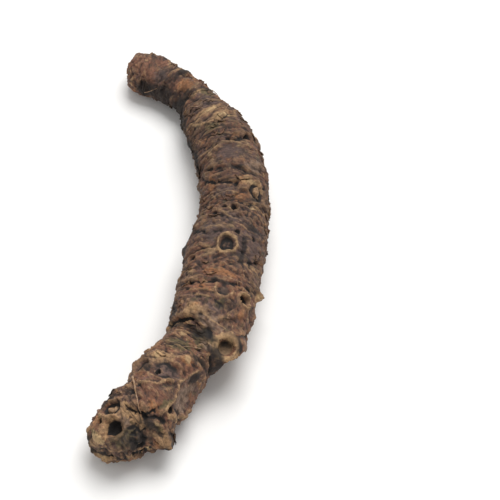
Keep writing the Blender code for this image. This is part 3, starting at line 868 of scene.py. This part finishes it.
class Value:
    """The output of a shader node. A sum on it is written as Python and becomes a Math node."""

    def __init__(self, finish, output):
        self.finish = finish
        self.output = output

    def math(self, operation, first, second):
        return self.finish.node("Math", {"operation": operation}, {0: first, 1: second})

    def __add__(self, other):
        return self.math("ADD", self, other)

    def __radd__(self, other):
        return self.math("ADD", other, self)

    def __sub__(self, other):
        return self.math("SUBTRACT", self, other)

    def __rsub__(self, other):
        return self.math("SUBTRACT", other, self)

    def __mul__(self, other):
        return self.math("MULTIPLY", self, other)

    def __rmul__(self, other):
        return self.math("MULTIPLY", other, self)

    def between(self, low, high):
        """0 at low and beyond it, 1 at high and beyond it, and smooth between them."""
        sockets = {"Value": self, "From Min": low, "From Max": high}
        return self.finish.node("MapRange", {"interpolation_type": "SMOOTHSTEP"}, sockets)


def linear(colour):
    """A colour of 0 to 255 as the shader takes it."""
    parts = np.array(colour) / 255
    light = np.where(parts <= 0.04045, parts / 12.92, ((parts + 0.055) / 1.055) ** 2.4)
    return (*light.tolist(), 1)


class Finish:
    """A material, built from nodes."""

    def __init__(self, name):
        self.material = bpy.data.materials.new(name)
        self.material.use_nodes = True
        self.tree = self.material.node_tree
        self.shader = self.tree.nodes["Principled BSDF"]

    def feed(self, node, sockets):
        for key, value in sockets.items():
            if isinstance(value, Value):
                self.tree.links.new(value.output, node.inputs[key])
            else:
                node.inputs[key].default_value = value

    def node(self, kind, settings, sockets, output=0):
        """A new node: its settings are set first, then its sockets."""
        node = self.tree.nodes.new("ShaderNode" + kind)
        for name, setting in settings.items():
            setattr(node, name, setting)
        self.feed(node, sockets)
        return Value(self, node.outputs[output])

    def mask(self, name):
        return self.node("Attribute", {"attribute_name": name}, {}, "Fac")

    def broken(self, name, strength, cloud):
        """The mask with its edges broken up by a cloud of noise."""
        return self.mask(name) + strength * (cloud - 0.5)

    def mix(self, amount, first, second):
        """The first colour where the amount is 0, and the second where it is 1."""
        sockets = {0: amount, 6: first, 7: second}
        return self.node("Mix", {"data_type": "RGBA"}, sockets, 2)

    def paint(self, colour, amount, paint):
        """The colour with this much of the paint laid over it."""
        return self.mix(amount, colour, linear(paint))

    def shade(self, colour, amount):
        """The colour made darker or lighter, or any other three numbers scaled."""
        return self.node("VectorMath", {"operation": "SCALE"}, {0: colour, "Scale": amount})

    def flecked(self, paint, amount):
        """A paint made darker or lighter."""
        return self.shade(linear(paint)[:3], amount)

    def place_in_mm(self):
        """The place on the piece, with no movement of the piece in it."""
        metres = self.node("TexCoord", {}, {}, "Object")
        return self.shade(metres, 1 / MM)

    def noise(self, place, size_mm, detail=3, channel=0):
        """Cloudy noise about 0.5, with clouds of this size."""
        sockets = {"Vector": place, "W": 7.3 * channel, "Scale": 1 / size_mm, "Detail": detail}
        return self.node("TexNoise", {"noise_dimensions": "4D"}, sockets)


def bare_bark(finish, place, mottle, patch):
    """Clouds of brown with patches of worn tan, amber and moss, and the stains over them."""
    cloud = finish.noise(place, 2.2, channel=1)
    bright = finish.noise(place, 0.4, channel=9)
    amber = finish.noise(place, 0.7, detail=5, channel=8)
    colour = finish.mix(cloud.between(0.42, 0.58), linear(GREY_BROWN), linear(RED_BROWN))
    colour = finish.paint(colour, 0.75 * mottle.between(0.51, 0.58), MAUVE)
    colour = finish.paint(colour, 0.8 * patch.between(0.55, 0.64), WORN_TAN)
    colour = finish.paint(colour, 0.7 * patch.between(0.46, 0.38), DARK_BROWN)
    colour = finish.paint(colour, 0.8 * bright.between(0.62, 0.7), PALE_TAN)
    colour = finish.paint(colour, 0.6 * amber.between(0.58, 0.68), AMBER)
    colour = finish.paint(colour, 0.6 * amber.between(0.42, 0.34), MOSS)
    for channel, (name, paint) in enumerate(STAIN_COLOURS.items()):
        stain = finish.broken(name, 1.5, finish.noise(place, 0.45, 5, 10 + channel))
        colour = finish.paint(colour, 0.85 * stain.between(0.3, 0.65), paint)
    return colour


def bark_finish():
    """Bark whose colours follow the masks held on its points."""
    finish = Finish("dried_bark")
    place = finish.place_in_mm()
    round_it = finish.node("Attribute", {"attribute_name": "round_it"}, {}, "Vector")
    fibres = finish.node("VectorMath", {"operation": "MULTIPLY"}, {0: round_it, 1: (4.2, 0.9, 0.9)})
    threads = finish.node("VectorMath", {"operation": "MULTIPLY"}, {0: round_it, 1: (9.0, 2.2, 2.2)})

    mottle = finish.noise(place, 0.85, detail=5, channel=2)
    fleck = finish.noise(place, 0.3, detail=4, channel=3)
    speck = finish.noise(place, 0.12, detail=2, channel=4)
    patch = finish.noise(place, 0.55, detail=5, channel=7)
    knobbed = finish.mask("knobbed")
    streak = finish.noise(fibres, 1, detail=4, channel=5)
    streak = streak + 0.8 * knobbed * (patch - streak)
    thread = finish.noise(threads, 1, detail=2, channel=6)
    thread = thread + 0.8 * knobbed * (fleck - thread)

    colour = bare_bark(finish, place, mottle, patch)

    # The worn and raised places are paler: partly worn bark, partly painted highlight on what stands above
    # its neighbours.
    dip = finish.mask("dip")
    worn = (0.1 * (thread - 0.5) - dip).between(0.02, 0.12)
    colour = finish.paint(colour, 0.5 * worn, WORN_TAN)
    # Painted highlight with pale worn bark along the crests.
    crest = finish.broken("crest", 0.8, streak).between(0.35, 0.9)
    colour = finish.paint(colour, 0.55 * crest, PALE_TAN)
    ridge = finish.broken("ridge", 0.9, fleck).between(0.45, 0.95)
    colour = finish.paint(colour, 0.75 * ridge, PALE_TAN)
    rim = (finish.broken("rim", 1.4, patch) + 0.6 * (fleck - 0.5)).between(0.3, 0.8)
    colour = finish.paint(colour, 0.85 * rim, PALE_TAN)

    # Streaks, flecks and specks make all of it lighter and darker, and painted shade darkens it from near
    # the thin end to the middle.
    colour = finish.shade(colour, finish.mask("shade_along_root") * (0.4 + 1.2 * streak))
    colour = finish.shade(colour, 0.25 + 1.5 * fleck)
    colour = finish.shade(colour, 0.45 + 1.1 * thread)
    colour = finish.shade(colour, 0.5 + speck)

    # Painted shade: the shade patches, the deep places and the hollows are darkened. The cracks and
    # crevices are darkened too, partly their own dark bark and partly painted shade.
    shade = finish.broken("shade", 1.1, mottle).between(0.2, 0.75)
    colour = finish.paint(colour, 0.9 * shade, SHADE_COLOUR)
    deep = (dip + 0.1 * (fleck - 0.5)).between(0.0, 0.13)
    colour = finish.paint(colour, 0.85 * deep, DARK_BROWN)
    deeper = finish.mask("wide_dip") + dip - 0.4 * finish.mask("ash") + 0.1 * (fleck - 0.5)
    colour = finish.paint(colour, deeper.between(0.13, 0.4), BLACK_BROWN)
    crack = finish.broken("crack", 0.5, fleck).between(0.25, 0.8)
    colour = finish.paint(colour, 0.7 * crack, BLACK_BROWN)
    crevice = finish.broken("crevice", 0.6, patch).between(0.3, 0.85)
    colour = finish.paint(colour, crevice, BLACK_BROWN)

    # The floor of the stub, the pits of the scars and their cores are flecked. The pits are dark, partly
    # their own colour and partly painted shade, with painted shadow in the upper half of the stub's pit.
    stub_floor = finish.broken("stub_pit", 0.5, fleck).between(0.3, 0.8)
    colour = finish.mix(0.8 * stub_floor, colour, finish.flecked(ASH, 0.3 + 1.4 * fleck))
    pit = finish.broken("pit", 0.9, patch).between(0.25, 0.85)
    colour = finish.mix(pit, colour, finish.flecked(BLACK_BROWN, 0.3 + 1.6 * fleck))
    core = (finish.broken("core", 0.9, patch) + 0.5 * (fleck - 0.5)).between(0.3, 0.8)
    colour = finish.mix(0.85 * core, colour, finish.flecked(CORE_TAN, 0.2 + 1.6 * fleck))

    height = 0.6 * fleck + 0.25 * speck + 0.3 * streak + 0.3 * thread
    relief = {"Strength": 0.9, "Distance": BUMP_HEIGHT * MM, "Height": height}
    bump = finish.node("Bump", {}, relief, "Normal")
    rough = 0.65 + 0.3 * mottle
    finish.feed(finish.shader, {"Base Color": colour, "Roughness": rough, "Normal": bump})
    return finish.material


def fibre_finish():
    finish = Finish("pale_fibre")
    fleck = finish.noise(finish.place_in_mm(), 0.25, channel=21)
    colour = finish.mix(fleck.between(0.4, 0.65), linear(WORN_TAN), linear(FIBRE_TAN))
    rough = 0.7 + 0.2 * fleck
    finish.feed(finish.shader, {"Base Color": colour, "Roughness": rough})
    return finish.material


def on_root(item):
    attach(item, "root")


def hold(item, masks):
    """Keeps each mask on the points of the piece, where its material reads it."""
    for name, values in masks.items():
        flat = values.ndim == 1
        held = item.data.attributes.new(name, "FLOAT" if flat else "FLOAT_VECTOR", "POINT")
        held.data.foreach_set("value" if flat else "vector", values.astype(np.float32).ravel())


def unroll(mesh):
    """Lays the skin out flat in two strips, cut along the underside, for a picture of its colours."""
    corner = np.empty(len(mesh.loops), int)
    mesh.loops.foreach_get("vertex_index", corner)
    first = np.empty(len(mesh.polygons), int)
    mesh.polygons.foreach_get("loop_start", first)
    count = np.diff(np.append(first, len(corner)))
    ring = np.clip(corner // SIDES, 0, RINGS - 1)
    across = (corner + SIDES // 2) % SIDES / SIDES
    tip = corner >= RINGS * SIDES
    ring[tip] = np.where(corner[tip] == RINGS * SIDES, -1, RINGS)
    across[tip] = 0.5
    widest = np.repeat(np.maximum.reduceat(across, first), count)
    across[(widest - across > 0.6) & ~tip] += 1
    run = (ring + 1) / (RINGS + 1)
    strip = np.repeat(np.minimum.reduceat(ring, first) >= RINGS // 2, count)
    down = 2 * run - strip
    layer = mesh.uv_layers.new(name="OFBake")
    flat = np.stack([0.01 + 0.46 * across + 0.5 * strip, 0.01 + 0.97 * down], -1)
    layer.data.foreach_set("uv", flat.astype(np.float32).ravel())


def fine_skin():
    """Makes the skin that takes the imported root's place. Gives its finish and its shift in mm."""
    along, around = skin_grid(RINGS, SIDES)
    place, _, masks = surface(along, around)
    lift = masks.pop("lift")
    masks.pop("calm")
    # How far each point lies below its neighbours. It leads the painted shade in the hollows and the paler
    # raised places.
    masks["dip"] = soften(lift, NEAR_REACH) - lift
    masks["wide_dip"] = soften(lift, WIDE_REACH) - lift
    masks["round_it"] = laid_round(along, around)
    low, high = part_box(NODE)
    packed_middle = (np.array(low) + np.array(high)) / 2 / MM
    shift = packed_middle - (place.min(axis=0) + place.max(axis=0)) / 2
    shift[2] = 0
    place += shift
    place[:, 2] = np.maximum(place[:, 2], 0)
    root = piece("bark_skin", place * MM, ring_faces(RINGS * SIDES, SIDES), bark_finish())
    hold(root, masks)
    unroll(root.data)
    on_root(root)
    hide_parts(NODE)
    return root.data.materials[0], shift


def flake_faces(kept, flipped):
    """The top, the underside and the wall round the edge of each flake that is kept."""
    numbers = np.arange(FLAKE_POINTS).reshape(FLAKE_DOWN, FLAKE_ACROSS)
    top = np.stack([numbers[:-1, :-1], numbers[1:, :-1], numbers[1:, 1:], numbers[:-1, 1:]], -1)
    top = top.reshape(-1, 4)
    loop = np.concatenate([numbers[0, :-1], numbers[:-1, -1], numbers[-1, :0:-1], numbers[:0:-1, 0]])
    beside = np.roll(loop, -1)
    under = FLAKES * FLAKE_POINTS
    wall = np.stack([loop, beside, beside + under, loop + under], -1)
    flake = np.concatenate([top, top[:, ::-1] + under, wall])
    faces = []
    for number in kept:
        turned = flake[:, ::-1] if flipped[number] else flake
        faces.append(turned + number * FLAKE_POINTS)
    return np.concatenate(faces)


def flakes(finish, shift):
    """Thin curled bits of bark, each rooted along one edge and lifted along the other."""
    random = np.random.default_rng(FLAKE_SEED)
    each = (FLAKES, 1, 1)
    middle = random.uniform(1.5, LENGTH - 1.2, each)
    side = random.uniform(-145, 145, each)
    length = random.uniform(0.25, 0.75, each) * random.choice((-1, 1, 1), each)
    width = random.uniform(0.5, 1.5, each)
    lifted = random.uniform(0.05, 0.17, each)
    lean = random.uniform(-0.35, 0.35, each)
    across = np.linspace(-1, 1, FLAKE_ACROSS)
    down = np.linspace(0, 1, FLAKE_DOWN)[:, None]
    edge = 0.15 + 0.85 * (1 - across**2) ** 0.7
    edge = edge * random.uniform(0.55, 1.25, (FLAKES, 1, FLAKE_ACROSS))
    along = middle + length * down * edge + lean * across
    along = np.clip(along.ravel(), 0.6, LENGTH - 0.4)
    turn = np.degrees(width / 2 / np.maximum(radius_at(middle), 1.5))
    around = (side + turn * across + 0 * down).ravel()
    place, out, masks = surface(along, around)
    rise = FLAKE_THICKNESS + lifted * down**1.5 + 0 * across
    raised = np.tile(np.repeat(down.ravel(), FLAKE_ACROSS), FLAKES)
    top = place + out * rise.reshape(-1, 1)
    under = top - out * (FLAKE_THICKNESS + FLAKE_ROOTED * (1 - raised))[:, None]
    masks.pop("lift")
    # Through the dip, painted shade darkens the rooted edge of each flake, and its lifted edge is paler,
    # partly worn and partly painted highlight.
    masks["dip"] = 0.08 - 0.2 * raised
    masks["round_it"] = laid_round(along, around)
    for name in ("wide_dip", "crack", "pit"):
        masks[name] = np.zeros(len(along))
    clear = masks.pop("calm").reshape(FLAKES, FLAKE_POINTS).max(axis=1) < 0.3
    faces = flake_faces(np.flatnonzero(clear), length.ravel() < 0)
    points = np.concatenate([top, under]) + shift
    points[:, 2] = np.maximum(points[:, 2], FLOOR_GAP)
    used, corners = np.unique(faces, return_inverse=True)
    item = piece("bark_flakes", points[used] * MM, corners.reshape(-1, 4).tolist(), finish)
    hold(item, {name: np.concatenate([values, values])[used] for name, values in masks.items()})
    on_root(item)


def tube(points, radii):
    """Rings of points round a line, with a point at each end, and their faces."""
    ahead = unit(np.gradient(points, axis=0))
    beside = unit(np.cross(ahead, (0.31, 0.2, 0.93)))
    above = np.cross(beside, ahead)
    turn = np.arange(FIBRE_SIDES) * 2 * np.pi / FIBRE_SIDES
    round_it = np.cos(turn)[:, None, None] * beside + np.sin(turn)[:, None, None] * above
    rings = (points + radii[:, None] * round_it).swapaxes(0, 1).reshape(-1, 3)
    corners = np.concatenate([rings, points[:1] - 0.02 * ahead[:1], points[-1:] + 0.05 * ahead[-1:]])
    # These rings run the other way round than the skin's, so each face is turned over.
    faces = [(first, *others[::-1]) for first, *others in ring_faces(len(rings), FIBRE_SIDES)]
    return corners, faces


def fibres(shift):
    """The one pale fibre that lies across the neck of the crown, and short loose ones."""
    steps = np.linspace(0, len(LONG_FIBRE) - 1, 28)
    along, around = (np.interp(steps, range(len(LONG_FIBRE)), line) for line in zip(*LONG_FIBRE))
    place, out, _ = surface(along, around)
    lines = [(place + out * (0.1 + 0.12 * np.sin(steps * 2.1))[:, None], 0.13 - 0.02 * steps)]
    random = np.random.default_rng(FIBRE_SEED)
    for _ in range(LOOSE_FIBRES):
        start = random.uniform(2, LENGTH - 2), random.uniform(-150, 150)
        reach = random.uniform(0.8, 2.4)
        way = 1.2 * random.uniform(-1, 1)
        part = np.linspace(0, 1, 12)
        along = np.clip(start[0] + reach * part * np.cos(way), 1, LENGTH - 1)
        turn = np.degrees(reach * part * np.sin(way) / radius_at(start[0]))
        place, out, _ = surface(along, start[1] + turn)
        smooth = place[0] + (place[-1] - place[0]) * part[:, None]
        smooth += out * (0.021 + 0.175 * np.sin(np.pi * part))[:, None]
        lines.append((smooth, random.uniform(0.025, 0.05) * (1.1 - 0.7 * part)))
    corners, faces = [], []
    for points, radii in lines:
        rings, sides = tube(points, radii)
        base = sum(len(earlier) for earlier in corners)
        corners.append(rings)
        faces += [[base + corner for corner in face] for face in sides]
    points = np.concatenate(corners) + shift
    points[:, 2] = np.maximum(points[:, 2], FLOOR_GAP)
    on_root(piece("fibres", points * MM, faces, fibre_finish()))


def floor():
    finish = Finish("floor_paper")
    finish.feed(finish.shader, {"Base Color": linear(FLOOR_WHITE), "Roughness": 0.9})
    corners = FLOOR_REACH * np.array([(-1, -1, 0), (1, -1, 0), (1, 1, 0), (-1, 1, 0)])
    piece("floor", corners, [(0, 1, 2, 3)], finish.material)


def aim(item, place, target):
    item.location = place
    item.rotation_euler = (Vector(target) - Vector(place)).to_track_quat("-Z", "Y").to_euler()
    bpy.context.collection.objects.link(item)


def studio():
    """A soft light above and behind the root, and an even pale sky."""
    lamp = bpy.data.lights.new("soft_key", "AREA")
    lamp.energy = KEY_WATTS
    lamp.size = KEY_SIZE
    aim(bpy.data.objects.new("soft_key", lamp), KEY_FROM, (0, 0, 0))
    world = bpy.data.worlds.new("pale_sky")
    world.use_nodes = True
    sky = world.node_tree.nodes["Background"]
    sky.inputs["Color"].default_value = (1, 1, 1, 1)
    sky.inputs["Strength"].default_value = SKY
    bpy.context.scene.world = world
    bpy.context.scene.view_settings.view_transform = "Standard"


def camera(target):
    lens = bpy.data.cameras.new("camera")
    lens.lens = LENS
    lens.clip_start = 0.001
    tilt = np.radians(ELEVATION)
    place = Vector(target) + DISTANCE * MM * Vector((0, -np.cos(tilt), np.sin(tilt)))
    item = bpy.data.objects.new("camera", lens)
    aim(item, place, target)
    bpy.context.scene.camera = item


bark, moved = fine_skin()
flakes(bark, moved)
fibres(moved)
floor()
studio()
camera(moved * MM)
